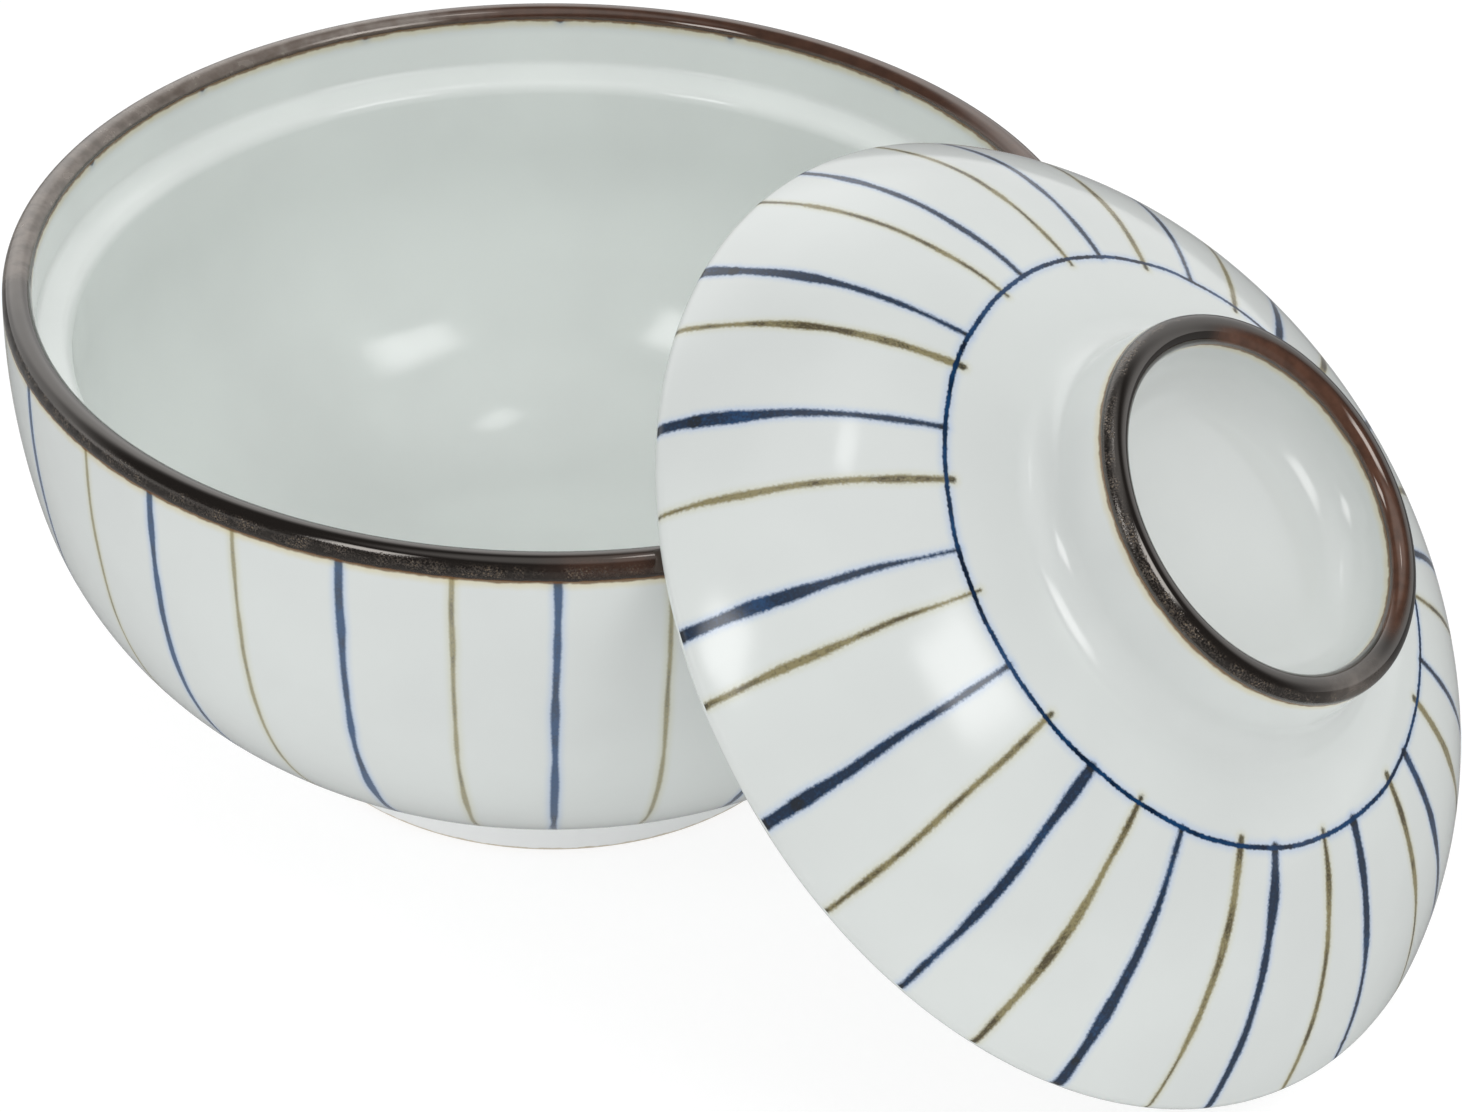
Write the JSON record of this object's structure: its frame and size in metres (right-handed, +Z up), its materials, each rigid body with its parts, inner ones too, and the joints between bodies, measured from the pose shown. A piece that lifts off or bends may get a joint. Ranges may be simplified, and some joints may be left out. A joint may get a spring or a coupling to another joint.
{
  "type": "lidded donburi bowl",
  "caption": "Deep round porcelain bowl with an iron-brown lip, striped wall and a seat inside the rim for its domed lid, which leans on the lip and lifts away by a ring grip.",
  "frame": {"origin": "centre of the ring on which the bowl's foot stands, on the table plane", "axes": "+Z up along the bowl's axis, +X towards the side on which the lid leans, +Y to the left of +X seen from above"},
  "size_m": [0.21, 0.1502, 0.097],
  "materials": {
    "porcelain": "glossy clear glaze over white porcelain, painted with blue and olive stripes",
    "iron_glaze": "glossy iron-brown glaze, amber where it thins at its edges"
  },
  "bodies": {
    "bowl": {"bowl_body": "porcelain", "bowl_lip_glaze": "iron_glaze"},
    "lid": {"lid_body": "porcelain", "lid_grip_glaze": "iron_glaze"}
  },
  "joints": [
    {"name": "lid_lift", "type": "slide", "parent": "bowl", "child": "lid", "axis": [0, 0, 1], "range_m": [0, 0.1]}
  ]
}
